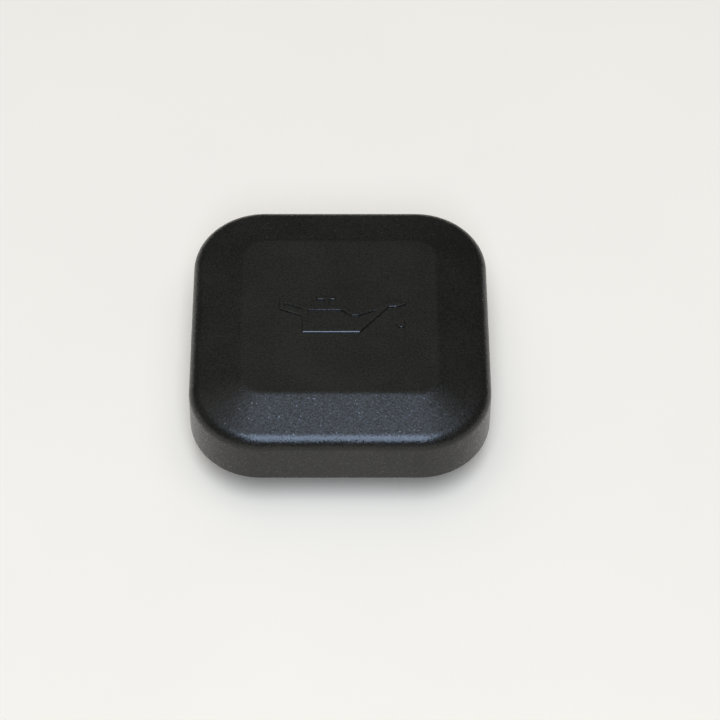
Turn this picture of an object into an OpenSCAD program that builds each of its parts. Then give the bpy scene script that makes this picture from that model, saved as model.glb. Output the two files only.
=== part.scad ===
// Oil filler cap for a car engine: a soft rounded-square cover, a bayonet core and a rubber seal.
// It is drawn as it rests on a table, standing on the end of the core's neck, with z = 0 there.

/* [Cover outside] */
// Radius of the cover's four corners, seen from above
corner_r = 15.9; // [14.5:0.1:18]
// Height of the cover, from the rim of its skirt to its flat top
cover_h = 15.6; // [14.6:0.1:17]
// Width of the sloping border that runs round the flat top, measured level
border_w = 11.6; // [10.5:0.1:12.5]
// Fall of that border, in degrees
bevel = 15.2; // [12:0.1:17]
// Radius that rounds the skirt over into the sloping border
edge_r = 3.2; // [2.8:0.1:4]
// Radius that softens the edge of the flat top
top_edge_r = 4; // [3.2:0.1:6]
// Lean of the skirt, so that it leaves its mould, in degrees
draft = 0.5; // [0.2:0.1:1.5]
// Chamfer of the skirt's outer rim
rim_chamfer = 0.4; // [0.2:0.1:0.8]

/* [Cover inside] */
// Thickness of the cover's wall
wall = 2.4; // [2:0.1:2.6]
// Thickness of the ribs under the cover
rib_t = 1.4; // [1:0.1:2]
// Depth of the two crossing ribs under the flat top
cross_rib_h = 1.6; // [1:0.1:2.4]
// Height of the collar that presses on the core, over the middle of the seal
collar_h = 4.2; // [3.6:0.1:5]
// Thickness of that collar
collar_t = 2; // [1.4:0.1:2.4]
// Thickness of the walls that centre the core, and of the snap hooks
pilot_t = 1.6; // [1.2:0.1:1.8]
// Angle that one snap hook spans, in degrees
hook_arc = 20; // [14:1:26]
// Angle of the slit on each side of a snap hook, in degrees
hook_slit = 3; // [2:0.5:6]
// Room for a snap hook to bend, between it and the skirt
hook_room = 2.25; // [1.6:0.05:5]
// Reach of a hook's barb under the core's flange
barb_reach = 1.1; // [0.7:0.1:1.4]
// Height of a hook's barb
barb_h = 1.9; // [1.4:0.1:2.4]
// Angle between neighbouring ribs in a corner of the cover, in degrees
corner_rib_step = 15; // [11:1:17]

/* [Bayonet core] */
// Outer diameter of the neck
neck_d = 40; // [38:0.5:41]
// Thickness of the neck's wall
neck_wall = 2.6; // [2:0.1:3.2]
// Length of the neck, from the seal's lower face to its end
neck_len = 13.5; // [12.5:0.1:15]
// How far the lead-in at the end of the neck stands in from the neck
lead_in_step = 0.6; // [0.3:0.1:1]
// Length of the lead-in
lead_in_len = 3.4; // [2.8:0.1:3.8]
// How far the flange that closes the neck reaches past the seal
flange_reach = 1.8; // [1.5:0.1:3]
// Thickness of the flange
flange_t = 2.5; // [2:0.1:3]
// Chamfer on the edges of the neck and the flange
core_chamfer = 0.5; // [0.3:0.1:0.8]
// Width of the four keys that turn the core with the cover
key_w = 5; // [4:0.5:6]
// Space between the top of a key and the top of the collar
key_room = 1.6; // [1.2:0.1:2.2]
// How far a key stands out from the collar
key_reach = 0.5; // [0.3:0.1:1]
// Depth of the ribs inside the neck, under the flange
web_h = 4.5; // [3:0.5:6]
// Diameter of the boss where those ribs cross
hub_d = 9; // [7:0.5:12]
// Height that the boss stands out beyond those ribs
hub_step = 1; // [0.5:0.1:2]

/* [Bayonet lugs] */
// Reach of a lug beyond the neck
lug_reach = 2.6; // [2:0.1:3]
// Height of a lug at its full thickness
lug_h = 3.4; // [2.6:0.1:3.8]
// Gap between the seal and the lugs, which grips the lip of the filler neck
grip = 6; // [5.5:0.1:6.4]
// Angle that a lug's level part spans, in degrees
dwell_arc = 24; // [16:1:30]
// Angle that a lug's ramp spans, in degrees
ramp_arc = 30; // [20:1:36]
// Slope of the ramp, in degrees
ramp_slope = 8; // [4:1:10]
// Angle that the stop at the end of a lug spans, in degrees
stop_arc = 6; // [4:1:8]
// Height of the stop above the lug
stop_h = 3; // [2:0.1:4]
// Radius of the detent ridge that holds the cap shut
detent_r = 0.7; // [0.5:0.1:1]
// Distance that the detent ridge stays in from the lug's outer face
detent_edge = 0.5; // [0.3:0.1:1]

/* [Seal] */
// Width of the seal's band
seal_w = 4.6; // [4:0.1:5.5]
// Thickness of the seal
seal_t = 3.5; // [3:0.1:4]
// Chamfer round the seal's outer edges
seal_chamfer = 0.5; // [0.3:0.1:0.8]
// Chamfer inside the seal, where the bead on the neck holds it
bead_chamfer = 1; // [0.8:0.1:1.4]
// Reach of the bead on the neck that keeps the seal on
bead_reach = 0.5; // [0.3:0.1:0.7]
// Width of that bead
bead_w = 1.2; // [1:0.1:1.6]

/* [Clearances] */
// Radial clearance between the seal and the neck
seal_gap = 0.1; // [0.05:0.05:0.2]
// Clearance between the bead and the seal
bead_gap = 0.1; // [0.05:0.05:0.2]
// Radial clearance between the flange and the walls and hooks that centre it
flange_gap = 0.25; // [0.15:0.05:0.4]
// Clearance between a hook's barb and the flange
barb_gap = 0.1; // [0.05:0.05:0.2]
// Clearance round a key in its slot
key_gap = 0.15; // [0.1:0.05:0.3]

/* [Hidden] */
$fn = 96;

// What a cutting shape runs past the surface that it cuts
over = 1;
// What a fillet's arc is larger than the tangent one, so that it crosses both of its faces cleanly
arc_over = 0.002;

// The smallest radius of a rounding inside the cover, where the wall takes up all of the outer one
least_r = 0.2;

// Radii from the cap's axis, from the neck outwards
neck_r = neck_d / 2;
bore_r = neck_r - neck_wall;
lead_in_r = neck_r - lead_in_step;
lug_r = neck_r + lug_reach;
seal_bore_r = neck_r + seal_gap;
seal_r = seal_bore_r + seal_w;
flange_r = seal_r + flange_reach;
pilot_r = flange_r + flange_gap;
collar_r = (seal_bore_r + seal_r - collar_t) / 2;

// Width of the cover across its flats, at the rim of its skirt
cap_w = 2 * (pilot_r + pilot_t + hook_room + wall);

// Heights from the end of the neck
seal_z = neck_len;
lug_top = seal_z - grip;
flange_z = seal_z + seal_t;
flange_top = flange_z + flange_t;
key_top = flange_top + collar_h - key_room;
roof_z = flange_top + collar_h + wall;
rim_z = roof_z - cover_h;

cover_colour = [0.16, 0.16, 0.16];
core_colour = [0.22, 0.22, 0.23];
seal_colour = [0.09, 0.09, 0.09];

// What rounding the edge at c takes away: the corner outside a circle of radius r, from angle a to b
module edge_waste(c, r, a, b) {
    translate(c) difference() {
        polygon([
            [0, 0],
            3 * r * [cos(a), sin(a)],
            4 * r * [cos((a + b) / 2), sin((a + b) / 2)],
            3 * r * [cos(b), sin(b)]
        ]);
        circle(r + arc_over);
    }
}

// The cover's outer section, moved in by t, from a corner's centre outwards and from height low up.
// Its two edges are rounded by radii r and r_top, and its foot has a chamfer.
module cover_section(t, r, r_top, low, chamfer = 0) {
    top = cover_h - t;
    // Inset of the skirt's face at height z, and height of the sloping border at inset d
    skirt_at = function(z) t / cos(draft) + z * tan(draft);
    border_at = function(d) cover_h - t / cos(bevel) - (border_w - d) * tan(bevel);
    // Where the faces would meet if no edge were rounded
    d_edge = skirt_at(border_at(0)) / (1 - tan(bevel) * tan(draft));
    d_top = border_w + t * (1 - cos(bevel)) / sin(bevel);
    // Centres of the two roundings
    d_round = (t + r + (border_at(0) - r / cos(bevel)) * sin(draft))
        / (cos(draft) - tan(bevel) * sin(draft));
    z_round = border_at(d_round) - r / cos(bevel);
    d_soft = d_top + r_top * tan(bevel / 2);
    at = function(d, z) [corner_r - d, z];
    difference() {
        polygon([
            at(corner_r, low),
            at(skirt_at(low) + chamfer, low),
            at(skirt_at(low + chamfer), low + chamfer),
            at(d_edge, border_at(d_edge)),
            at(d_top, top),
            at(corner_r, top)
        ]);
        edge_waste(at(d_round, z_round), r, draft, 90 - bevel);
        edge_waste(at(d_soft, top - r_top), r_top, 90 - bevel, 90);
    }
}

// The cover's form, moved in by t: the section turned round four corners and run along four sides
module cover_form(t, r, r_top, low = 0, chamfer = 0) {
    centre = cap_w / 2 - corner_r;
    translate([0, 0, rim_z]) {
        for (turn = [0 : 90 : 270]) rotate(turn) translate([centre, centre, 0]) {
            rotate_extrude(angle = 90) cover_section(t, r, r_top, low, chamfer);
            rotate([90, 0, 0]) linear_extrude(2 * centre) cover_section(t, r, r_top, low, chamfer);
        }
        translate([-centre, -centre, low]) cube([2 * centre, 2 * centre, cover_h - t - low]);
    }
}

// A piece of a ring about the cap's axis, centred on the angle at, with its section as child
module ring_part(at, arc) {
    rotate(at - arc / 2) rotate_extrude(angle = arc) children();
}

// A rib or wall standing out from the axis at the angle at, from radius r0 to r1 and height z0 to z1
module radial_block(at, r0, r1, width, z0, z1) {
    rotate(at) translate([r0, -width / 2, z0]) cube([r1 - r0, width, z1 - z0]);
}

// The collar that stands on the flange, slotted for the keys, and the crossing ribs inside it
module collar() {
    difference() {
        translate([0, 0, flange_top]) difference() {
            cylinder(h = roof_z - flange_top, r = collar_r + collar_t);
            translate([0, 0, -over]) cylinder(h = roof_z - flange_top + 2 * over, r = collar_r);
        }
        for (at = [0 : 90 : 270])
            radial_block(at, collar_r - over, collar_r + collar_t + over, key_w + 2 * key_gap,
                flange_top - over, key_top + key_gap);
    }
    for (at = [45, 135])
        radial_block(at, -collar_r - collar_t / 2, collar_r + collar_t / 2, rib_t,
            roof_z - wall - cross_rib_h, roof_z);
}

// The four walls that centre the core, with the ribs that tie them to the cover's corners
module pilot_walls() {
    for (at = [45 : 90 : 315]) {
        ring_part(at, 90 - hook_arc - 2 * hook_slit)
            translate([pilot_r, flange_z]) square([pilot_t, roof_z - flange_z]);
        for (k = [-1 : 1])
            radial_block(at + k * corner_rib_step, pilot_r + pilot_t / 2, cap_w, rib_t, flange_z, roof_z);
    }
}

// One of the four snap hooks that hold the core's flange, with its barb and its lead-in
module hook(at) {
    barb_z = flange_z - barb_gap;
    ring_part(at, hook_arc) polygon([
        [pilot_r, roof_z],
        [pilot_r, barb_z],
        [pilot_r - flange_gap - barb_reach, barb_z],
        [pilot_r - flange_gap - barb_reach, barb_z - barb_h / 4],
        [pilot_r + pilot_t / 3, barb_z - barb_h],
        [pilot_r + pilot_t, barb_z - barb_h],
        [pilot_r + pilot_t, roof_z]
    ]);
}

// Outer shell that the hand turns: one moulding, open below
module cover() {
    color(cover_colour) {
        difference() {
            cover_form(0, edge_r, top_edge_r, 0, rim_chamfer);
            cover_form(wall, max(edge_r - wall, least_r), max(top_edge_r - wall, least_r), -over);
        }
        // What stands inside ends halfway through the wall
        intersection() {
            cover_form(wall / 2, edge_r - wall / 2, top_edge_r - wall / 2);
            union() {
                collar();
                pilot_walls();
                for (at = [0 : 90 : 270]) hook(at);
            }
        }
    }
}

// One bayonet lug centred on the angle at: a ramp, a level part with its detent, and a stop
module lug(at) {
    root = neck_r - neck_wall / 2;
    low = lug_top - lug_h;
    whole = ramp_arc + dwell_arc;
    // Angles at which the ramp meets the level part, and at which the stop starts
    join = ramp_arc - whole / 2;
    stop_from = whole / 2 - stop_arc;
    rotate(at) {
        difference() {
            ring_part(0, whole) translate([root, low]) square([lug_r - root, lug_h + stop_h]);
            // Clear the space above the ramp and the level part
            ring_part(stop_from - whole / 2, whole)
                translate([root - over, lug_top]) square([lug_r - root + 2 * over, stop_h + over]);
            // Slope the ramp
            rotate(join) translate([0, 0, lug_top]) rotate([ramp_slope, 0, 0])
                translate([0, -2 * lug_r, 0]) cube([2 * lug_r, 2 * lug_r + over, 2 * stop_h]);
        }
        rotate(join + dwell_arc / 4) translate([neck_r - neck_wall / 4, 0, lug_top - detent_r / 2])
            rotate([0, 90, 0]) cylinder(h = lug_reach + neck_wall / 4 - detent_edge, r = detent_r);
    }
}

// Plug that closes the filler neck: tube, flange, lugs and keys in one moulding
module bayonet_core() {
    color(core_colour) {
        difference() {
            rotate_extrude() polygon([
                [0, 0],
                [lead_in_r - core_chamfer, 0],
                [lead_in_r, core_chamfer],
                [lead_in_r, lead_in_len],
                [neck_r, lead_in_len + neck_r - lead_in_r],
                [neck_r, seal_z - bead_gap - bead_w],
                [neck_r + bead_reach, seal_z - bead_gap - bead_w + bead_reach],
                [neck_r + bead_reach, seal_z - bead_gap - bead_w / 4],
                [neck_r, seal_z - bead_gap],
                [neck_r, flange_z],
                [flange_r, flange_z],
                [flange_r, flange_top - core_chamfer],
                [flange_r - core_chamfer, flange_top],
                [0, flange_top]
            ]);
            difference() {
                translate([0, 0, -over]) cylinder(h = flange_z + over, r = bore_r);
                for (at = [45, 135])
                    radial_block(at, -neck_r, neck_r, rib_t, flange_z - web_h, flange_top);
                translate([0, 0, flange_z - web_h - hub_step])
                    cylinder(h = web_h + hub_step + flange_t / 2, d = hub_d);
            }
        }
        for (at = [0 : 90 : 270])
            radial_block(at, collar_r - key_reach, collar_r + collar_t + key_reach, key_w,
                flange_z + flange_t / 2, key_top);
        for (at = [0, 180]) lug(at);
    }
}

// Rubber ring between the flange and the rim of the filler neck
module seal_ring() {
    color(seal_colour) translate([0, 0, seal_z]) rotate_extrude() polygon([
        [seal_bore_r + bead_chamfer, 0],
        [seal_r - seal_chamfer, 0],
        [seal_r, seal_chamfer],
        [seal_r, seal_t - seal_chamfer],
        [seal_r - seal_chamfer, seal_t],
        [seal_bore_r, seal_t],
        [seal_bore_r, bead_chamfer]
    ]);
}

cover();
bayonet_core();
seal_ring();
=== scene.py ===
import math

import bmesh
import bpy
from mathutils import Matrix, Vector
from mathutils.geometry import tessellate_polygon


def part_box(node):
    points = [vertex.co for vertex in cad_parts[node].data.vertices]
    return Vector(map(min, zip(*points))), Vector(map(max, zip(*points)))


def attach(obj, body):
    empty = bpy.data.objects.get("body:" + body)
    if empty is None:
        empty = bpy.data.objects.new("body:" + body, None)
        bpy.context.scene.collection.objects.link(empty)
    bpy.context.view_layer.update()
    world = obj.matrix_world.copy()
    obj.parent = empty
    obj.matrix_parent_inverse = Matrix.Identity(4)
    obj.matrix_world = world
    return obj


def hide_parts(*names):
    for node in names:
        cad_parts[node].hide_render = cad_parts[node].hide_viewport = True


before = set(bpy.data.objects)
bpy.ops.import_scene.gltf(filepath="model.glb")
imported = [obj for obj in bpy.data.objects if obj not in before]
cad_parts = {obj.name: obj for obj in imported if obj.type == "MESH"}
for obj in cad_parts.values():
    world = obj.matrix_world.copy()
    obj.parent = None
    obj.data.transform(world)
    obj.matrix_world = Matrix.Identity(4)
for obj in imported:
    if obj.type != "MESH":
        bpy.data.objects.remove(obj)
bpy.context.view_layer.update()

mm = 0.001


# Camera

# Fitted to the photo's outline. The photo's frame is 720 pixels wide.
cameraLook = {
    "elevation": 51.9,       # degrees above the table
    "distance": 572.7 * mm,  # from the point that it aims at
    "aimAboveRim": 10 * mm,
    "focalPixels": 2584,
    "frameWidth": 720,
    "aimPixel": (340.2, 330.3),
    "sensorWidth": 36,
    "nearest": 0.01,         # metres
}


def makeCamera(look, rimHeight):
    width = look["frameWidth"]
    data = bpy.data.cameras.new("photoCamera")
    data.sensor_width = look["sensorWidth"]
    data.lens = look["sensorWidth"] * look["focalPixels"] / width
    data.clip_start = look["nearest"]
    camera = bpy.data.objects.new("photoCamera", data)
    bpy.context.scene.collection.objects.link(camera)
    tilt = math.radians(look["elevation"])
    aim = Vector((0, 0, rimHeight + look["aimAboveRim"]))
    camera.location = aim + look["distance"] * Vector((0, -math.cos(tilt), math.sin(tilt)))
    # The photo has the aim point left of and above its middle, so the camera turns right and down
    across = math.atan((width / 2 - look["aimPixel"][0]) / look["focalPixels"])
    down = math.atan((width / 2 - look["aimPixel"][1]) / look["focalPixels"])
    square = Matrix.Rotation(math.pi / 2 - tilt, 3, "X")
    turn = Matrix.Rotation(-across, 3, "Y") @ Matrix.Rotation(-down, 3, "X")
    camera.rotation_euler = (square @ turn).to_euler()
    bpy.context.scene.camera = camera


coverLow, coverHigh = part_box("cover")
makeCamera(cameraLook, coverLow[2])
print("camera placed")


# Tools for making pieces. All pieces are made in millimetres and brought to metres when finished.

weldDistance = 1e-4  # points nearer than this become one
overlap = 1          # how far a form that is joined or cut away reaches past a face


def linkMesh(name, bm):
    mesh = bpy.data.meshes.new(name)
    bm.to_mesh(mesh)
    bm.free()
    piece = bpy.data.objects.new(name, mesh)
    bpy.context.scene.collection.objects.link(piece)
    return piece


def applyModifiers(piece):
    graph = bpy.context.evaluated_depsgraph_get()
    mesh = bpy.data.meshes.new_from_object(piece.evaluated_get(graph))
    piece.modifiers.clear()
    old = piece.data
    piece.data = mesh
    bpy.data.meshes.remove(old)
    return piece


def dropPiece(piece):
    mesh = piece.data
    bpy.data.objects.remove(piece)
    bpy.data.meshes.remove(mesh)


def combine(piece, others, operation="UNION", selfCrossing=False):
    for other in others:
        step = piece.modifiers.new(operation.lower(), "BOOLEAN")
        step.operation = operation
        step.solver = "EXACT"
        step.use_self = selfCrossing
        step.object = other
        applyModifiers(piece)
        dropPiece(other)
    return piece


def gather(name, pieces):
    bm = bmesh.new()
    for piece in pieces:
        bm.from_mesh(piece.data)
        dropPiece(piece)
    return linkMesh(name, bm)


def roundCorners(points, radii, steps=3, mostOfSide=0.45):
    # A closed outline with each corner turned into an arc of its own radius
    outline = []
    for k, (here, radius) in enumerate(zip(points, radii)):
        here = Vector(here)
        before = Vector(points[k - 1]) - here
        after = Vector(points[(k + 1) % len(points)]) - here
        half = before.angle(after) / 2
        reach = min(radius / math.tan(half), mostOfSide * before.length, mostOfSide * after.length)
        r = reach * math.tan(half)
        if r < weldDistance:
            outline.append(here)
            continue
        middle = here + (before.normalized() + after.normalized()).normalized() * r / math.sin(half)
        first = here + before.normalized() * reach - middle
        last = here + after.normalized() * reach - middle
        sweep = first.angle_signed(last)
        for i in range(steps + 1):
            outline.append(middle + Matrix.Rotation(-sweep * i / steps, 2) @ first)
    return outline


def sweepRound(outline, steps, start=0, end=360):
    # An outline of radius and height, turned about the axis from one angle to the other
    bm = bmesh.new()
    full = end - start >= 360
    rows = []
    for i in range(steps if full else steps + 1):
        angle = math.radians(start + (end - start) * i / steps)
        rows.append([bm.verts.new((r * math.cos(angle), r * math.sin(angle), z)) for r, z in outline])
    for i in range(steps):
        here, there = rows[i], rows[(i + 1) % len(rows)]
        for j in range(len(outline)):
            k = (j + 1) % len(outline)
            bm.faces.new((here[j], there[j], there[k], here[k]))
    if not full:
        bm.faces.new(rows[0])
        bm.faces.new(reversed(rows[-1]))
    bmesh.ops.remove_doubles(bm, verts=bm.verts, dist=weldDistance)
    bmesh.ops.delete(bm, geom=[e for e in bm.edges if e.is_wire], context="EDGES")
    bmesh.ops.recalc_face_normals(bm, faces=bm.faces)
    return bm


def boxMesh(low, high):
    bm = bmesh.new()
    bmesh.ops.create_cube(bm, size=1)
    low, high = Vector(low), Vector(high)
    bm.transform(Matrix.Translation((low + high) / 2) @ Matrix.Diagonal((high - low).to_4d()))
    return bm


def softenEdges(bm, width, segments=2, angle=30):
    sharp = [e for e in bm.edges if len(e.link_faces) == 2 and e.calc_face_angle() > math.radians(angle)]
    bmesh.ops.bevel(bm, geom=sharp, offset=width, offset_type="OFFSET", segments=segments,
                    profile=0.5, affect="EDGES", clamp_overlap=True)
    bmesh.ops.recalc_face_normals(bm, faces=bm.faces)
    return bm


def finishPiece(piece, material, node, sharpAngle=35):
    # Millimetres to metres, one material, smooth faces with hard edges only where the form has them
    mesh = piece.data
    bm = bmesh.new()
    bm.from_mesh(mesh)
    bmesh.ops.remove_doubles(bm, verts=bm.verts, dist=2 * weldDistance)
    bmesh.ops.dissolve_degenerate(bm, dist=weldDistance, edges=bm.edges)
    bm.to_mesh(mesh)
    bm.free()
    mesh.transform(Matrix.Scale(mm, 4))
    mesh.materials.clear()
    mesh.materials.append(material)
    for face in mesh.polygons:
        face.use_smooth = True
        face.material_index = 0
    mesh.set_sharp_from_angle(angle=math.radians(sharpAngle))
    piece.modifiers.new("evenShading", "WEIGHTED_NORMAL").keep_sharp = True
    applyModifiers(piece)
    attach(piece, "root")
    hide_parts(node)
    print(piece.name, "finished:", len(piece.data.polygons), "faces")


# Node trees, of geometry and of materials

def feed(tree, socket, value):
    # value is either set on the socket, or it is the output that feeds it
    if isinstance(value, bpy.types.NodeSocket):
        tree.links.new(value, socket)
    else:
        socket.default_value = value


def addNode(tree, kind, inputs, operation=None, mode=None, feature=None):
    # A node's setting decides which sockets it has, so it comes before them
    node = tree.nodes.new(kind)
    if operation:
        node.operation = operation
    if mode:
        node.mode = mode
    if feature:
        node.feature = feature
    for name, value in inputs.items():
        feed(tree, node.inputs[name], value)
    return node


def addMath(tree, operation, *values):
    return addNode(tree, "ShaderNodeMath", dict(enumerate(values)), operation).outputs[0]


def addVectorMath(tree, operation, first, second=None):
    inputs = {0: first}
    if second is not None:
        inputs["Scale" if operation == "SCALE" else 1] = second
    return addNode(tree, "ShaderNodeVectorMath", inputs, operation).outputs["Vector"]


def addRange(tree, value, low, high, fromLow=0.3, fromHigh=0.7):
    return addNode(tree, "ShaderNodeMapRange", {
        "Value": value, "From Min": fromLow, "From Max": fromHigh, "To Min": low, "To Max": high}).outputs[0]


def addMix(tree, factor, first, second):
    return addNode(tree, "ShaderNodeMix", {"Factor": factor, "A": first, "B": second}).outputs[0]


def addNoise(tree, place, size, detail=3, rough=0.55, distort=0.0):
    # size is the width of one cloud or grain, in millimetres
    return addNode(tree, "ShaderNodeTexNoise", {
        "Vector": place, "Scale": 1 / (size * mm), "Detail": detail, "Roughness": rough,
        "Distortion": distort}).outputs[0]


def addCells(tree, place, size):
    # A random colour for each small cell
    cells = addNode(tree, "ShaderNodeTexVoronoi", {"Vector": place, "Scale": 1 / (size * mm)})
    return cells.outputs["Color"]


def addTwoColours(tree, value, colours, ends=(0.32, 0.68)):
    ramp = tree.nodes.new("ShaderNodeValToRGB")
    for stop, colour, end in zip(ramp.color_ramp.elements, colours, ends):
        stop.position = end
        stop.color = (*colour, 1)
    feed(tree, ramp.inputs[0], value)
    return ramp.outputs["Color"]


def addBump(tree, height, depth, strength=1.0, normal=None):
    inputs = {"Height": height, "Distance": depth * mm, "Strength": strength}
    if normal is not None:
        inputs["Normal"] = normal
    return addNode(tree, "ShaderNodeBump", inputs).outputs[0]


def startMaterial(name):
    material = bpy.data.materials.new(name)
    material.use_nodes = True
    tree = material.node_tree
    place = tree.nodes.new("ShaderNodeTexCoord").outputs["Object"]
    return material, tree, tree.nodes["Principled BSDF"].inputs, place


def startTree(name, inputs):
    tree = bpy.data.node_groups.new(name, "GeometryNodeTree")
    tree.interface.new_socket("Geometry", in_out="INPUT", socket_type="NodeSocketGeometry")
    tree.interface.new_socket("Geometry", in_out="OUTPUT", socket_type="NodeSocketGeometry")
    for label, kind in inputs.items():
        tree.interface.new_socket(label, in_out="INPUT", socket_type="NodeSocket" + kind)
    return tree, tree.nodes.new("NodeGroupInput").outputs


def endTree(tree, geometry, material):
    real = addNode(tree, "GeometryNodeRealizeInstances", {0: geometry})
    finish = addNode(tree, "GeometryNodeSetMaterial", {"Geometry": real.outputs[0], "Material": material})
    feed(tree, tree.nodes.new("NodeGroupOutput").inputs[0], finish.outputs[0])
    return tree


def runTree(piece, tree, values):
    step = piece.modifiers.new(tree.name, "NODES")
    step.node_group = tree
    for socket in tree.interface.items_tree:
        if socket.in_out == "INPUT" and socket.name in values:
            step[socket.identifier] = values[socket.name]
    return applyModifiers(piece)


def makeRingTree():
    # Copies of a piece, evenly spaced round the axis
    tree, given = startTree("spacedRoundAxis", {
        "Copies": "Int", "First angle": "Float", "Material": "Material"})
    points = addNode(tree, "GeometryNodePoints", {"Count": given["Copies"]})
    index = tree.nodes.new("GeometryNodeInputIndex")
    stepAngle = addMath(tree, "DIVIDE", 2 * math.pi, given["Copies"])
    angle = addMath(tree, "MULTIPLY_ADD", index.outputs[0], stepAngle, given["First angle"])
    turn = addNode(tree, "ShaderNodeCombineXYZ", {"Z": angle})
    copies = addNode(tree, "GeometryNodeInstanceOnPoints", {
        "Points": points.outputs[0], "Instance": given["Geometry"], "Rotation": turn.outputs[0]})
    return endTree(tree, copies.outputs[0], given["Material"])


def makeRoundedSquareTree():
    # A section swept round a square with rounded corners
    tree, given = startTree("sweptRoundSquare", {
        "Width": "Float", "Corner radius": "Float", "Corner steps": "Int", "Material": "Material"})
    square = addNode(tree, "GeometryNodeCurvePrimitiveQuadrilateral", {
        "Width": given["Width"], "Height": given["Width"]})
    rounded = addNode(tree, "GeometryNodeFilletCurve", {
        "Curve": square.outputs[0], "Radius": given["Corner radius"], "Count": given["Corner steps"]},
        mode="POLY")
    upright = addNode(tree, "GeometryNodeSetCurveNormal", {"Curve": rounded.outputs[0]}, mode="Z_UP")
    section = addNode(tree, "GeometryNodeMeshToCurve", {"Mesh": given["Geometry"]})
    skin = addNode(tree, "GeometryNodeCurveToMesh", {
        "Curve": upright.outputs[0], "Profile Curve": section.outputs[0]})
    return endTree(tree, skin.outputs[0], given["Material"])


def repeatRound(piece, copies, firstAngle, material):
    values = {"Copies": copies, "First angle": math.radians(firstAngle), "Material": material}
    return runTree(piece, ringTree, values)


ringTree = makeRingTree()
roundedSquareTree = makeRoundedSquareTree()
print("node trees made")


# Finishes. Sizes are in millimetres.

signRaised = 0.34  # the sign's height on the flat top
grainLook = {
    "colours": ((0.0066, 0.0057, 0.0038), (0.0142, 0.0119, 0.0082)),
    "cloudSize": 14,          # of the wide clouds in its colour
    "cloudShare": 0.35,       # their share in the mottling, the rest is specks
    "speckSize": 0.45,
    "toneFrom": (0.40, 0.60), # the mottling's middle values, spread to those of the next line
    "toneTo": (0.2, 0.8),
    "pitSize": 0.55,          # between the pits that spark erosion leaves
    "pitDepth": 0.02,
    "pitSmoothness": 0.35,
    "facetSize": 0.27,        # of the small facets between them
    "facetTilt": 0.105,       # how far their normals lean
    "glintSize": 0.23,        # of the few bright ones
    "glintShare": 0.05,
    "glintTilt": 0.25,
    "patchSize": 1.1,
    "roughness": (0.29, 0.35),
    "glintRoughness": 0.18,
    "signEdge": (0.01, signRaised - 0.004),  # heights on the flat top between which the sign is smooth
    "edgeRoughness": 0.14,
    "specular": 0.36,
}


def makeGrainedPlastic(look, flatHeight):
    material, tree, shader, place = startMaterial("grainedBlackPlastic")
    clouds = addNoise(tree, place, look["cloudSize"], detail=4)
    specks = addNoise(tree, place, look["speckSize"], detail=2)
    specks = addMath(tree, "MULTIPLY", specks, 1 - look["cloudShare"])
    tone = addMath(tree, "MULTIPLY_ADD", clouds, look["cloudShare"], specks)
    tone = addRange(tree, tone, *look["toneTo"], *look["toneFrom"])
    feed(tree, shader["Base Color"], addTwoColours(tree, tone, look["colours"]))
    # The sloping edges of the raised sign are smooth: all that lies between its foot and its face
    height = addNode(tree, "ShaderNodeSeparateXYZ", {0: place}).outputs["Z"]
    low, high = (flatHeight + h * mm for h in look["signEdge"])
    edge = addMath(tree, "MULTIPLY", addMath(tree, "GREATER_THAN", height, low),
                   addMath(tree, "LESS_THAN", height, high))
    grainy = addMath(tree, "SUBTRACT", 1.0, edge)
    # A few cells are bright facets
    glints = addCells(tree, place, look["glintSize"])
    draw = addNode(tree, "ShaderNodeSeparateColor", {0: glints}).outputs[2]
    chosen = addMath(tree, "LESS_THAN", draw, look["glintShare"])
    rough = addNoise(tree, place, look["patchSize"], detail=5, rough=0.65)
    rough = addRange(tree, rough, *look["roughness"])
    rough = addMix(tree, chosen, rough, look["glintRoughness"])
    feed(tree, shader["Roughness"], addMix(tree, edge, rough, look["edgeRoughness"]))
    # Pits as bump, and facets that lean each their own way
    pits = addNode(tree, "ShaderNodeTexVoronoi", {
        "Vector": place, "Scale": 1 / (look["pitSize"] * mm), "Smoothness": look["pitSmoothness"]},
        feature="SMOOTH_F1")
    normal = addBump(tree, pits.outputs["Distance"], look["pitDepth"])
    half = (0.5, 0.5, 0.5)
    facets = addVectorMath(tree, "SUBTRACT", addCells(tree, place, look["facetSize"]), half)
    facets = addVectorMath(tree, "SCALE", facets, look["facetTilt"])
    lean = addVectorMath(tree, "SUBTRACT", glints, half)
    lean = addVectorMath(tree, "SCALE", lean, addMath(tree, "MULTIPLY", chosen, look["glintTilt"]))
    lean = addVectorMath(tree, "SCALE", addVectorMath(tree, "ADD", facets, lean), grainy)
    normal = addVectorMath(tree, "NORMALIZE", addVectorMath(tree, "ADD", normal, lean))
    feed(tree, shader["Normal"], normal)
    shader["Specular IOR Level"].default_value = look["specular"]
    return material


nylonLook = {
    "colours": ((0.017, 0.017, 0.0175), (0.023, 0.023, 0.024)),
    "flowSize": 9.0,          # of a cloud in the moulding
    "flowBend": 0.8,
    "flowDepth": 0.02,
    "flowStrength": 0.6,
    "patchSize": 0.8,
    "roughness": (0.32, 0.46),
    "grainSize": 0.16,
    "grainDepth": 0.004,
}


def makeSmoothPlastic(look):
    material, tree, shader, place = startMaterial("mouldedBlackPlastic")
    clouds = addNoise(tree, place, look["flowSize"], detail=4, distort=look["flowBend"])
    feed(tree, shader["Base Color"], addTwoColours(tree, clouds, look["colours"]))
    patches = addNoise(tree, place, look["patchSize"], detail=4)
    feed(tree, shader["Roughness"], addRange(tree, patches, *look["roughness"]))
    waves = addBump(tree, clouds, look["flowDepth"], look["flowStrength"])
    grain = addNoise(tree, place, look["grainSize"])
    feed(tree, shader["Normal"], addBump(tree, grain, look["grainDepth"], normal=waves))
    return material


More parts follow.
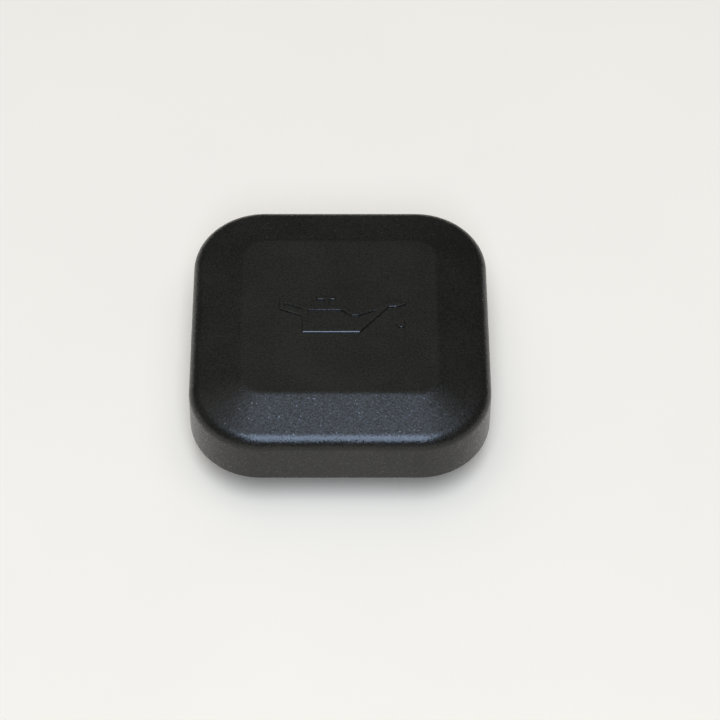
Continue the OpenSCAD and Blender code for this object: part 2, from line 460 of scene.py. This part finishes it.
rubberLook = {
    "colours": ((0.011, 0.011, 0.011), (0.017, 0.017, 0.017)),
    "cloudSize": 4,
    "patchSize": 0.5,
    "roughness": (0.62, 0.78),
    "grainSize": 0.12,
    "grainDepth": 0.006,
}


def makeRubber(look):
    material, tree, shader, place = startMaterial("sealRubber")
    clouds = addNoise(tree, place, look["cloudSize"], detail=4)
    feed(tree, shader["Base Color"], addTwoColours(tree, clouds, look["colours"]))
    patches = addNoise(tree, place, look["patchSize"], detail=4)
    feed(tree, shader["Roughness"], addRange(tree, patches, *look["roughness"]))
    grain = addNoise(tree, place, look["grainSize"])
    feed(tree, shader["Normal"], addBump(tree, grain, look["grainDepth"]))
    return material


grainedPlastic = makeGrainedPlastic(grainLook, coverHigh[2])
smoothPlastic = makeSmoothPlastic(nylonLook)
sealRubber = makeRubber(rubberLook)
print("finishes made")


# Cover: one moulding, open below

coverSize = {
    "width": 66.0,           # across the flats, at the rim
    "cornerRadius": 15.9,
    "height": 15.6,          # from the rim to the flat top
    "borderWidth": 11.6,
    "borderFall": 15.2,      # degrees
    "edgeRadius": 3.2,
    "topEdgeRadius": 4.0,
    "leastRadius": 0.2,      # of the same edges inside the wall
    "lean": 0.5,             # degrees
    "rimRound": 0.4,
    "innerRimRound": 0.25,
    "wall": 2.4,
    "topInset": 14.9,        # where the sweep ends and the flat middle is filled
    "cornerSteps": 28,
    "edgeSteps": 14,
    "softSteps": 5,
    "rimSteps": 5,
    "innerRimSteps": 4,
    "arcMargin": 0.2,        # from an arc's end to the next row on the flat
    "skirtRows": (0.33, 0.66),
    "borderRows": (0, 0.25, 0.5, 0.75, 1),
}


def coverSkin(size, inset, edgeRadius, topRadius, low):
    # One skin of the cover's section, from the rim to the flat top, as distance in from the side and height
    lean, fall = math.radians(size["lean"]), math.radians(size["borderFall"])
    top, margin = size["height"] - inset, size["arcMargin"]

    def skirtAt(z):
        return inset / math.cos(lean) + z * math.tan(lean), z

    def borderAt(d):
        return size["height"] - inset / math.cos(fall) - (size["borderWidth"] - d) * math.tan(fall)

    level = borderAt(0) - edgeRadius / math.cos(fall)
    roundAt = inset + edgeRadius + level * math.sin(lean)
    roundAt /= math.cos(lean) - math.tan(fall) * math.sin(lean)
    roundZ = borderAt(roundAt) - edgeRadius / math.cos(fall)
    topAt = size["borderWidth"] + inset * (1 - math.cos(fall)) / math.sin(fall)
    softAt = topAt + topRadius * math.tan(fall / 2)
    arcStart = roundZ + edgeRadius * math.sin(lean)
    points = [skirtAt(low)]
    points += [skirtAt(low + (arcStart - low) * share) for share in size["skirtRows"]]
    points.append(skirtAt(arcStart - margin))
    steps = size["edgeSteps"]
    for i in range(steps + 1):
        a = lean + (math.pi / 2 - fall - lean) * i / steps
        points.append((roundAt - edgeRadius * math.cos(a), roundZ + edgeRadius * math.sin(a)))
    first = points[-1][0] + margin
    last = softAt - topRadius * math.sin(fall) - margin
    for share in size["borderRows"]:
        d = first + (last - first) * share
        points.append((d, borderAt(d)))
    steps = size["softSteps"]
    for i in range(steps + 1):
        a = math.pi / 2 - fall + fall * i / steps
        points.append((softAt - topRadius * math.cos(a), top - topRadius + topRadius * math.sin(a)))
    points += [(softAt + margin, top), (size["topInset"], top)]
    return points


def coverSection(size):
    # Down the inside, round the rim and up the outside
    wall, least = size["wall"], size["leastRadius"]
    lip, inner = size["rimRound"], size["innerRimRound"]
    outside = coverSkin(size, 0, size["edgeRadius"], size["topEdgeRadius"], lip)
    inside = coverSkin(size, wall, max(size["edgeRadius"] - wall, least),
                       max(size["topEdgeRadius"] - wall, least), inner)
    rim = []
    steps = size["innerRimSteps"]
    for i in range(steps + 1):
        a = math.radians(90 * i / steps)
        rim.append((inside[0][0] - inner + inner * math.cos(a), inner - inner * math.sin(a)))
    steps = size["rimSteps"]
    for i in range(steps + 1):
        a = math.radians(90 * i / steps)
        rim.append((outside[0][0] + lip - lip * math.sin(a), lip - lip * math.cos(a)))
    return inside[::-1] + rim[1:-1] + outside


def sweepSquare(name, section, size, rimZ, material):
    # A section's line, swept round the square, becomes a closed shell
    bm = bmesh.new()
    row = [bm.verts.new((-d, -z, 0)) for d, z in section]
    for a, b in zip(row, row[1:]):
        bm.edges.new((a, b))
    shell = linkMesh(name, bm)
    runTree(shell, roundedSquareTree, {
        "Width": size["width"], "Corner radius": size["cornerRadius"],
        "Corner steps": size["cornerSteps"], "Material": material})
    bm = bmesh.new()
    bm.from_mesh(shell.data)
    bmesh.ops.remove_doubles(bm, verts=bm.verts, dist=weldDistance)
    bmesh.ops.holes_fill(bm, edges=[e for e in bm.edges if e.is_boundary], sides=0)
    bm.transform(Matrix.Translation((0, 0, rimZ)))
    bmesh.ops.recalc_face_normals(bm, faces=bm.faces)
    bm.to_mesh(shell.data)
    bm.free()
    return shell


# What stands inside the cover. Heights are from the end of the neck.
insideSize = {
    "edgeRound": 0.18,
    "collarRadius": 21.4,
    "collarWall": 2.0,
    "collarBase": 19.5,
    "collarSteps": 128,
    "slotWidth": 5.3,
    "slotTop": 22.25,
    "ribWidth": 1.4,
    "crossRibHeight": 1.6,
    "cornerRibStep": 15,     # degrees
    "cornerRibEnd": 39.6,    # past the skirt, whose middle form cuts it off
    "guideRadius": 26.75,
    "guideWall": 1.6,
    "guideBase": 17.0,
    "guideSteps": 20,
    "hookArc": 20,
    "hookSlit": 3,
    "hookSteps": 8,
    "hookRound": 0.126,
    "barbTop": 16.9,
    "barbReach": 1.1,
    "barbHeight": 1.9,
    "flangeGap": 0.25,
}


def makeCollar(size, roofZ, material):
    r0, r1, base = size["collarRadius"], size["collarRadius"] + size["collarWall"], size["collarBase"]
    corners = [(r0, base), (r1, base), (r1, roofZ), (r0, roofZ)]
    rounds = [size["edgeRound"], size["edgeRound"], 0, 0]
    collar = linkMesh("collar", sweepRound(roundCorners(corners, rounds), size["collarSteps"]))
    half = size["slotWidth"] / 2
    slot = boxMesh((r0 - overlap, -half, base - overlap), (r1 + overlap, half, size["slotTop"]))
    return combine(collar, [repeatRound(linkMesh("keySlot", slot), 4, 0, material)], "DIFFERENCE")


def makeInside(size, wall, roofZ, material):
    soft, guide, half = size["edgeRound"], size["guideRadius"], size["ribWidth"] / 2
    outer, base = guide + size["guideWall"], size["guideBase"]
    crossRib = boxMesh((-overlap, -half, roofZ - wall - size["crossRibHeight"]),
                       (size["collarRadius"] + overlap, half, roofZ - wall / 2))
    crossRibs = repeatRound(linkMesh("crossRib", softenEdges(crossRib, soft)), 4, 45, material)
    span = 90 - size["hookArc"] - 2 * size["hookSlit"]
    guideWall = [(guide, base), (outer, base), (outer, roofZ), (guide, roofZ)]
    guideWall = softenEdges(sweepRound(guideWall, size["guideSteps"], -span / 2, span / 2), soft)
    guideWalls = repeatRound(linkMesh("guideWall", guideWall), 4, 45, material)
    ribs = []
    for k in (-1, 0, 1):
        rib = boxMesh((guide + size["guideWall"] / 2, -half, base), (size["cornerRibEnd"], half, roofZ))
        rib = linkMesh("cornerRib", softenEdges(rib, soft))
        ribs.append(repeatRound(rib, 4, 45 + k * size["cornerRibStep"], material))
    # A hook's barb is square on top, where the flange rests, and slopes below
    barb, foot = size["barbTop"], size["barbTop"] - size["barbHeight"]
    tip = guide - size["flangeGap"] - size["barbReach"]
    hook = [(guide, roofZ), (guide, barb), (tip, barb), (tip, barb - size["barbHeight"] / 4),
            (guide + size["guideWall"] / 3, foot), (outer, foot), (outer, roofZ)]
    hook = sweepRound(hook, size["hookSteps"], -size["hookArc"] / 2, size["hookArc"] / 2)
    hooks = repeatRound(linkMesh("snapHook", softenEdges(hook, size["hookRound"])), 4, 0, material)
    collar = makeCollar(size, roofZ, material)
    return gather("coverInside", [collar, crossRibs, guideWalls, hooks] + ribs)


# The raised sign: the usual outline of an oil can with a drop, in no maker's style
signSize = {
    "raised": signRaised,
    "sunk": 0.5,
    "cornerRound": 0.3,
    "edgeSteps": 5,
    "shift": (0, -0.34),
    # Outlines in millimetres from the cap's axis, to the right and to the back, each with its edge's radius
    "outside": (0.20, [(-8.45, -4.82), (4.35, -4.82), (10.75, 2.35), (12.4, 2.4), (15.4, 3.4), (11.9, 4.5),
                       (9.6, 3.55), (6.3, 2.15), (3.7, 1.25), (2.75, 1.2), (0.55, 2.7), (-2.4, 2.7),
                       (-2.4, 4.45), (-1.0, 4.45), (-1.0, 5.35), (-5.2, 5.35), (-5.2, 4.42), (-3.5, 4.42),
                       (-3.5, 2.7), (-7.9, 2.7), (-13.4, 4.85), (-13.4, 1.75), (-8.45, -0.2)]),
    "bodyHole": (0.07, [(-7.1, -3.62), (3.77, -3.62), (8.32, 1.5), (6.79, 0.98), (3.93, 0.0),
                        (2.5, -0.08), (0.2, 1.48), (-7.1, 1.48)]),
    "handleHole": (0.07, [(-8.5, 1.05), (-8.5, 1.95), (-12.4, 3.45), (-12.4, 2.55)]),
    "bottomEdge": 0.38,      # the can's bottom is rounder than its other edges
    "dropEdge": 0.15,
    "dropTop": (13.45, 0.75),
    "dropMiddle": (13.35, -2.45),
    "dropRadius": 0.95,
    "dropSteps": 18,
}


def dropOutline(size):
    # A pointed drop: two lines from the tip that touch a circle
    tip, middle, r = Vector(size["dropTop"]), Vector(size["dropMiddle"]), size["dropRadius"]
    along = (tip - middle).normalized()
    touch = math.acos(r / (tip - middle).length)
    outline, steps = [tip], size["dropSteps"]
    for i in range(steps + 1):
        turn = -touch - (2 * math.pi - 2 * touch) * i / steps
        outline.append(middle + Matrix.Rotation(turn, 2) @ (along * r))
    return outline


def moveOutline(points, distances):
    # A closed outline moved to the left of its direction, each corner by its own distance
    moved = []
    for k, (here, distance) in enumerate(zip(points, distances)):
        behind, ahead = here - points[k - 1], points[(k + 1) % len(points)] - here
        first, second = (Vector((-d.y, d.x)).normalized() for d in (behind, ahead))
        moved.append(here + (first + second) * distance / (1 + first.dot(second)))
    return moved


def addPlate(bm, outlines, low, high, steps):
    # A flat plate with a rounded top edge, whose radius is given for each corner. The first outline is its
    # outside, the others are holes.
    tops, bottoms = [], []
    for k, (edges, points) in enumerate(outlines):
        area = sum(a.cross(b) for a, b in zip(points, points[1:] + points[:1]))
        if (area > 0) == (k > 0):
            points, edges = points[::-1], edges[::-1]
        rows = [[bm.verts.new((*p, low)) for p in points]]
        for i in range(steps + 1):
            a = math.pi / 2 * i / steps
            moved = moveOutline(points, [edge * (1 - math.cos(a)) for edge in edges])
            heights = [high - edge + edge * math.sin(a) for edge in edges]
            rows.append([bm.verts.new((*p, z)) for p, z in zip(moved, heights)])
        for here, there in zip(rows, rows[1:]):
            for j in range(len(points)):
                bm.faces.new((here[j - 1], here[j], there[j], there[j - 1]))
        tops.append(rows[-1])
        bottoms.append(rows[0])
    triangles = tessellate_polygon([[v.co for v in row] for row in tops])
    for rows in (tops, bottoms):
        flat = [v for row in rows for v in row]
        for triangle in triangles:
            bm.faces.new([flat[i] for i in triangle])


def makeSign(size, topZ):
    bm = bmesh.new()
    shift = Vector(size["shift"])
    can = []
    for name in ("outside", "bodyHole", "handleHole"):
        edge, points = size[name]
        can.append((edge, roundCorners(points, [size["cornerRound"]] * len(points))))
    bottom = can[0][1][0].y + size["cornerRound"]
    for outlines in (can, [(size["dropEdge"], dropOutline(size))]):
        plate = [([size["bottomEdge"] if p.y < bottom else edge for p in points], [p + shift for p in points])
                 for edge, points in outlines]
        addPlate(bm, plate, topZ - size["sunk"], topZ + size["raised"], size["edgeSteps"])
    bmesh.ops.recalc_face_normals(bm, faces=bm.faces)
    return linkMesh("sign", bm)


def makeCover(size, rimZ, topZ, material):
    cover = sweepSquare("coverMoulding", coverSection(size), size, rimZ, material)
    print("cover shell swept")
    # What stands inside ends on a form whose skin runs halfway through the cover's wall
    half = size["wall"] / 2
    middle = coverSkin(size, half, size["edgeRadius"] - half, size["topEdgeRadius"] - half, 0)
    middle = sweepSquare("middleForm", middle, size, rimZ, material)
    inside = makeInside(insideSize, size["wall"], topZ, material)
    combine(inside, [middle], "INTERSECT", selfCrossing=True)
    combine(cover, [inside])
    print("inside of the cover joined")
    return combine(cover, [makeSign(signSize, topZ)])


cover = makeCover(coverSize, coverLow[2] / mm, coverHigh[2] / mm, grainedPlastic)
finishPiece(cover, grainedPlastic, "cover")


# Core: tube, flange, lugs and keys in one moulding. Heights are from the end of the neck.

coreSize = {
    "neckRadius": 20.0,
    "bore": 17.4,
    "leadInRadius": 19.4,
    "leadInLength": 3.4,
    "beadBottom": 12.2,
    "beadReach": 0.5,
    "beadPeak": 13.1,
    "beadTop": 13.4,
    "flangeBottom": 17.0,
    "flangeTop": 19.5,
    "flangeRadius": 26.5,
    # One for each corner of the neck's section, from the bore's lower edge outwards and up
    "neckRounds": (0.4, 0.6, 0.4, 0.4, 0.1, 0.15, 0.15, 0.1, 0.05, 0.2, 0.5, 0, 0, 0.7),
    "arcSteps": 4,
    "roundSteps": 160,
    "edgeRound": 0.22,
    "webWidth": 1.4,
    "webEnd": 18.7,          # inside the tube's wall
    "webBottom": 12.5,
    "hubRadius": 4.5,
    "hubBottom": 11.5,
    "hubRound": 0.33,
    "hubSteps": 64,
    "keyWidth": 5.0,
    "keyInner": 20.9,
    "keyOuter": 23.9,
    "keyTop": 22.1,
}
lugSize = {
    "root": 18.7,
    "reach": 22.6,
    "bottom": 4.1,
    "top": 7.5,
    "whole": 54,             # degrees
    "ramp": 30,
    "slope": 8,
    "stopArc": 6,
    "stopHeight": 3.0,
    "steps": (12, 6, 3),     # along the ramp, the level part and the stop
    "edgeRound": 0.25,
    "sharpAngle": 40,
    "detentRadius": 0.7,
    "detentStart": 19.3,
    "detentEnd": 22.1,
    "detentSteps": 20,
    "detentRound": 0.2,
    "detentSharpAngle": 60,
}


def makeNeck(size):
    neck, bore, bead = size["neckRadius"], size["bore"], size["beadBottom"]
    lead, length, reach = size["leadInRadius"], size["leadInLength"], size["beadReach"]
    flange, under, top = size["flangeRadius"], size["flangeBottom"], size["flangeTop"]
    corners = [
        (bore, 0), (lead, 0), (lead, length), (neck, length + neck - lead), (neck, bead),
        (neck + reach, bead + reach), (neck + reach, size["beadPeak"]), (neck, size["beadTop"]),
        (neck, under), (flange, under), (flange, top), (0, top), (0, under), (bore, under)]
    outline = roundCorners(corners, size["neckRounds"], size["arcSteps"])
    return linkMesh("coreMoulding", sweepRound(outline, size["roundSteps"]))


def makeLug(size):
    # Ramp, level part and stop, with the detent ridge joined on
    whole, top, bottom = size["whole"], size["top"], size["bottom"]
    root, reach, stopTop = size["root"], size["reach"], size["top"] + size["stopHeight"]
    join, stopFrom = size["ramp"] - whole / 2, whole / 2 - size["stopArc"]
    fall = math.tan(math.radians(size["slope"]))
    rampSteps, levelSteps, stopSteps = size["steps"]
    angles = [-whole / 2 + size["ramp"] * i / rampSteps for i in range(rampSteps)]
    angles += [join + (stopFrom - join) * i / levelSteps for i in range(levelSteps)]
    angles += [stopFrom + size["stopArc"] * i / stopSteps for i in range(stopSteps + 1)]
    bm = bmesh.new()
    rows = []
    for k, degrees in enumerate(angles):
        a = math.radians(degrees)
        side = min(0, math.sin(a - math.radians(join))) * fall
        here = [(root, bottom), (reach, bottom)]
        # The row where the stop starts has both the level part's edge and the stop's
        if k <= rampSteps + levelSteps:
            here += [(reach, top + reach * side), (root, top + root * side)]
        if k >= rampSteps + levelSteps:
            here += [(reach, stopTop), (root, stopTop)]
        rows.append([bm.verts.new((r * math.cos(a), r * math.sin(a), z)) for r, z in here])
    for here, there in zip(rows, rows[1:]):
        outTop, inTop = here[-2:]
        stepped = len(here) > 4
        bm.faces.new((here[0], there[0], there[1], here[1]))
        bm.faces.new([here[1], there[1], there[2], outTop] + ([here[2]] if stepped else []))
        bm.faces.new((outTop, there[2], there[3], inTop))
        bm.faces.new([inTop, there[3], there[0], here[0]] + ([here[3]] if stepped else []))
        if stepped:
            bm.faces.new((here[2], here[3], inTop, outTop))
    bm.faces.new(rows[0])
    bm.faces.new(reversed(rows[-1]))
    bmesh.ops.recalc_face_normals(bm, faces=bm.faces)
    lug = linkMesh("lug", softenEdges(bm, size["edgeRound"], angle=size["sharpAngle"]))
    bm = bmesh.new()
    r, start, end = size["detentRadius"], size["detentStart"], size["detentEnd"]
    bmesh.ops.create_cone(bm, cap_ends=True, segments=size["detentSteps"], radius1=r, radius2=r,
                          depth=end - start)
    softenEdges(bm, size["detentRound"], angle=size["detentSharpAngle"])
    bm.transform(Matrix.Rotation(math.radians(join + (whole / 2 - join) / 4), 4, "Z")
                 @ Matrix.Translation(((start + end) / 2, 0, top - r / 2))
                 @ Matrix.Rotation(math.pi / 2, 4, "Y"))
    return combine(lug, [linkMesh("detent", bm)])


def makeCore(size, lugValues, material):
    core = makeNeck(size)
    soft, inFlange = size["edgeRound"], size["flangeBottom"] + overlap
    half = size["webWidth"] / 2
    web = softenEdges(boxMesh((-overlap, -half, size["webBottom"]), (size["webEnd"], half, inFlange)), soft)
    web = repeatRound(linkMesh("web", web), 4, 45, material)
    hub = [(0, size["hubBottom"]), (size["hubRadius"], size["hubBottom"]), (size["hubRadius"], inFlange),
           (0, inFlange)]
    hub = linkMesh("hub", sweepRound(roundCorners(hub, (0, size["hubRound"], 0, 0)), size["hubSteps"]))
    half = size["keyWidth"] / 2
    key = boxMesh((size["keyInner"], -half, size["flangeTop"] - overlap),
                  (size["keyOuter"], half, size["keyTop"]))
    keys = repeatRound(linkMesh("key", softenEdges(key, soft)), 4, 0, material)
    lugs = repeatRound(makeLug(lugValues), 2, 0, material)
    combine(web, [hub], selfCrossing=True)
    return combine(core, [web, keys, lugs])


finishPiece(makeCore(coreSize, lugSize, smoothPlastic), smoothPlastic, "bayonet_core")


# Seal

sealSize = {
    "bore": 20.1,
    "outside": 24.7,
    "bottom": 13.5,
    "thickness": 3.5,
    "beadSeat": 1.0,
    # One for each corner of its section, from the bead's seat outwards and up
    "rounds": (0.15, 0.5, 0.5, 0.1, 0.15),
    "arcSteps": 5,
    "roundSteps": 144,
}


def makeSeal(size):
    low, high = size["bottom"], size["bottom"] + size["thickness"]
    bore, outside, seat = size["bore"], size["outside"], size["beadSeat"]
    corners = [(bore + seat, low), (outside, low), (outside, high), (bore, high), (bore, low + seat)]
    outline = roundCorners(corners, size["rounds"], size["arcSteps"])
    return linkMesh("sealMoulding", sweepRound(outline, size["roundSteps"]))


finishPiece(makeSeal(sealSize), sealRubber, "seal_ring")


# Floor, lamps and world, in metres

roomLook = {
    "floorColour": (0.97, 0.79, 0.583),
    "floorSize": 6.0,
    "floorCloudSize": 60,        # mm across its faint clouds, and their shade
    "floorCloudShade": 0.985,
    "floorRoughness": 0.75,
    "floorSpecular": 0.25,
    "lampDistance": 2.5,
    "lamps": {                   # tilt from straight above to the camera, size across and to the back
        "overheadLamp": {"tilt": 30.5, "size": (1.0, 2.35), "power": 56.0, "colour": (0.73, 0.95, 1.33)},
        "wideLamp": {"tilt": 11, "size": (2.8, 2.1), "power": 24.2, "colour": (0.82, 0.97, 1.22)},
    },
    "worldColour": (1.0, 0.96, 0.88),
    "horizonStrength": 0.08,
    "zenithStrength": 0.47,
    "zenithFocus": 10,           # how closely the light of the ceiling gathers overhead
    "worldLean": (-0.14, 0.30),  # makes the left and the back of the room a little lighter
}


def makeFloor(look):
    bm = bmesh.new()
    bmesh.ops.create_grid(bm, x_segments=2, y_segments=2, size=look["floorSize"] / 2)
    floor = linkMesh("floor", bm)
    material, tree, shader, place = startMaterial("paleFloor")
    clouds = addNoise(tree, place, look["floorCloudSize"], detail=2)
    shade = [c * look["floorCloudShade"] for c in look["floorColour"]]
    feed(tree, shader["Base Color"], addTwoColours(tree, clouds, (look["floorColour"], shade)))
    shader["Roughness"].default_value = look["floorRoughness"]
    shader["Specular IOR Level"].default_value = look["floorSpecular"]
    floor.data.materials.append(material)


def addLamp(name, look, distance, aim):
    data = bpy.data.lights.new(name, "AREA")
    data.shape = "ELLIPSE"
    data.size, data.size_y = look["size"]
    data.energy = look["power"]
    data.color = look["colour"]
    lamp = bpy.data.objects.new(name, data)
    bpy.context.scene.collection.objects.link(lamp)
    a = math.radians(look["tilt"])
    lamp.location = aim + distance * Vector((0, -math.sin(a), math.cos(a)))
    lamp.rotation_euler = (a, 0, 0)


def makeWorld(look):
    # A room that is softly lighter towards its ceiling
    world = bpy.data.worlds.new("plainRoom")
    world.use_nodes = True
    tree = world.node_tree
    direction = tree.nodes.new("ShaderNodeTexCoord").outputs["Generated"]
    height = addNode(tree, "ShaderNodeVectorMath", {0: direction, 1: (*look["worldLean"], 1)}, "DOT_PRODUCT")
    above = addMath(tree, "MAXIMUM", height.outputs["Value"], 0)
    steep = addMath(tree, "POWER", above, look["zenithFocus"])
    back = tree.nodes["Background"].inputs
    back["Color"].default_value = (*look["worldColour"], 1)
    feed(tree, back["Strength"], addRange(tree, steep, look["horizonStrength"], look["zenithStrength"], 0, 1))
    bpy.context.scene.world = world


makeFloor(roomLook)
for name, look in roomLook["lamps"].items():
    addLamp(name, look, roomLook["lampDistance"], Vector((0, 0, coverHigh[2])))
makeWorld(roomLook)
bpy.context.scene.view_settings.view_transform = "Standard"
print("floor, lamps and world made")
